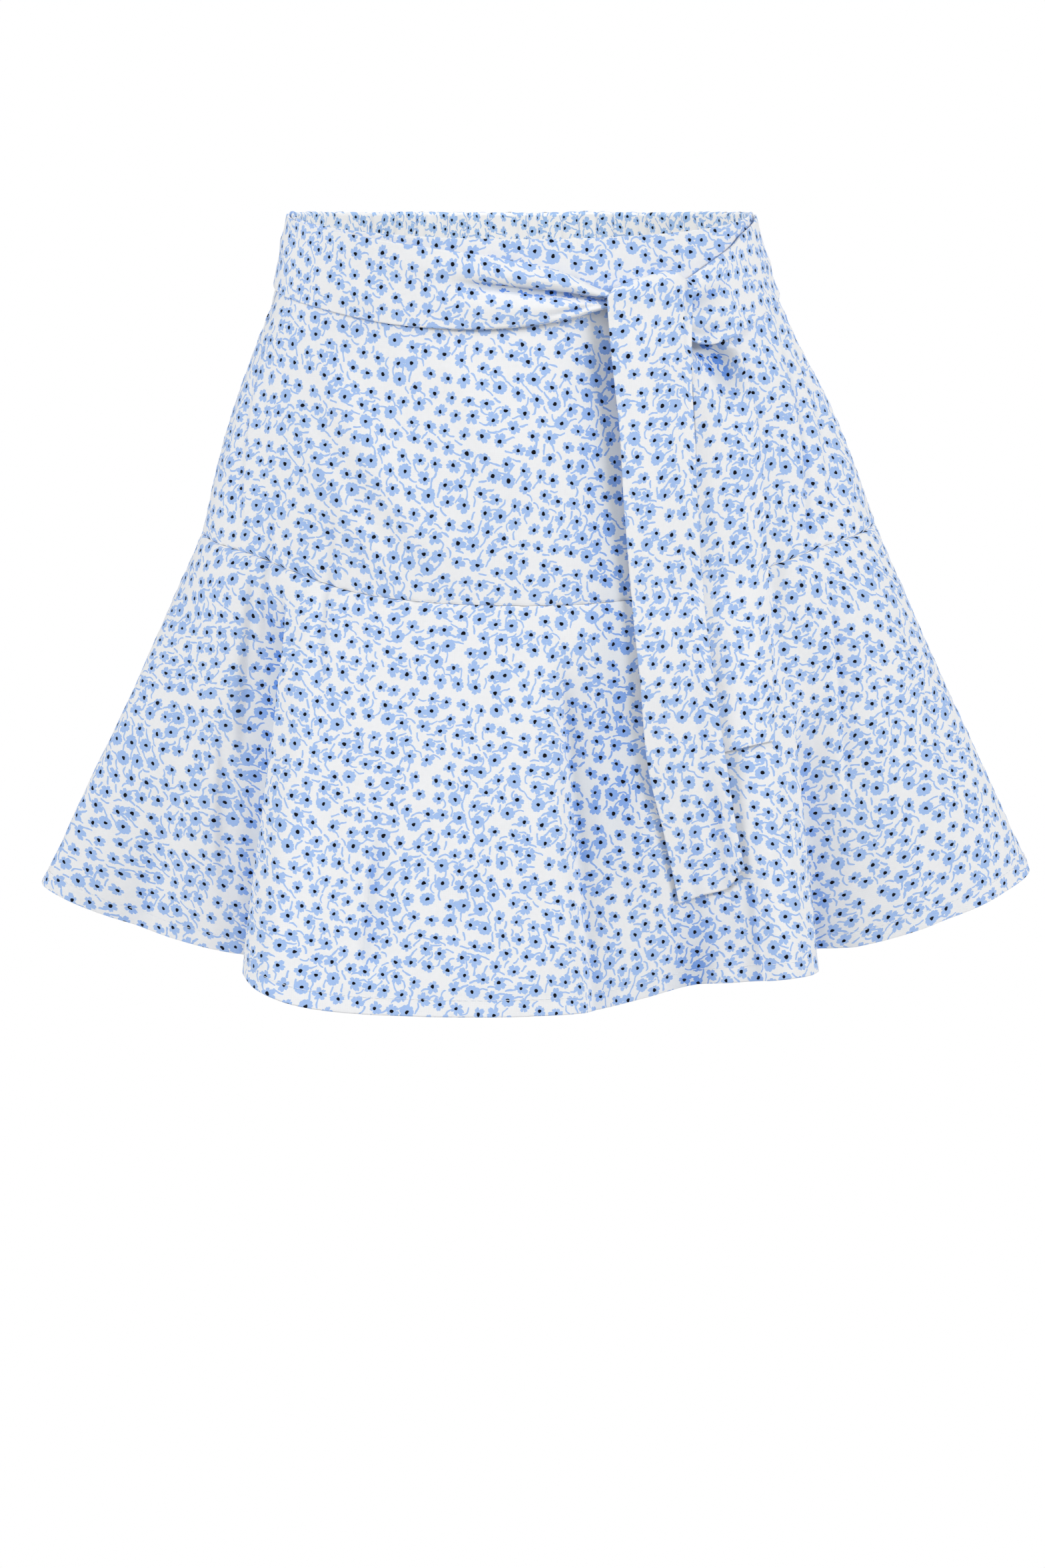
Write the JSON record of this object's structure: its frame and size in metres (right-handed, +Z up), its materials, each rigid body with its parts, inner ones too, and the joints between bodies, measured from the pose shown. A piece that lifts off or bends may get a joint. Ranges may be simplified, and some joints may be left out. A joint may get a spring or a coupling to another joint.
{
  "type": "skort",
  "caption": "Short flared skort in its worn form: fitted yoke, fluted circular flounce, elasticated back waist, inner shorts and a cloth sash tied in front.",
  "frame": {"origin": "middle of the waist opening, level with the top of the side seams", "axes": "+Z up out of the waist, -Y the front, +X the right side as the front is looked at"},
  "size_m": [0.5381, 0.3761, 0.3863],
  "materials": {
    "printed_cloth": "off-white crepe printed with small light blue flowers",
    "plain_jersey": "plain off-white jersey"
  },
  "bodies": {
    "root": {"yoke_front": "printed_cloth", "yoke_back": "printed_cloth", "waist_casing_back": "printed_cloth", "flounce_front": "printed_cloth", "flounce_back": "printed_cloth", "sash_left": "printed_cloth", "sash_right": "printed_cloth", "sash_knot": "printed_cloth", "tail_front": "printed_cloth", "tail_back": "printed_cloth", "shorts_left": "plain_jersey", "shorts_right": "plain_jersey"}
  },
  "joints": []
}
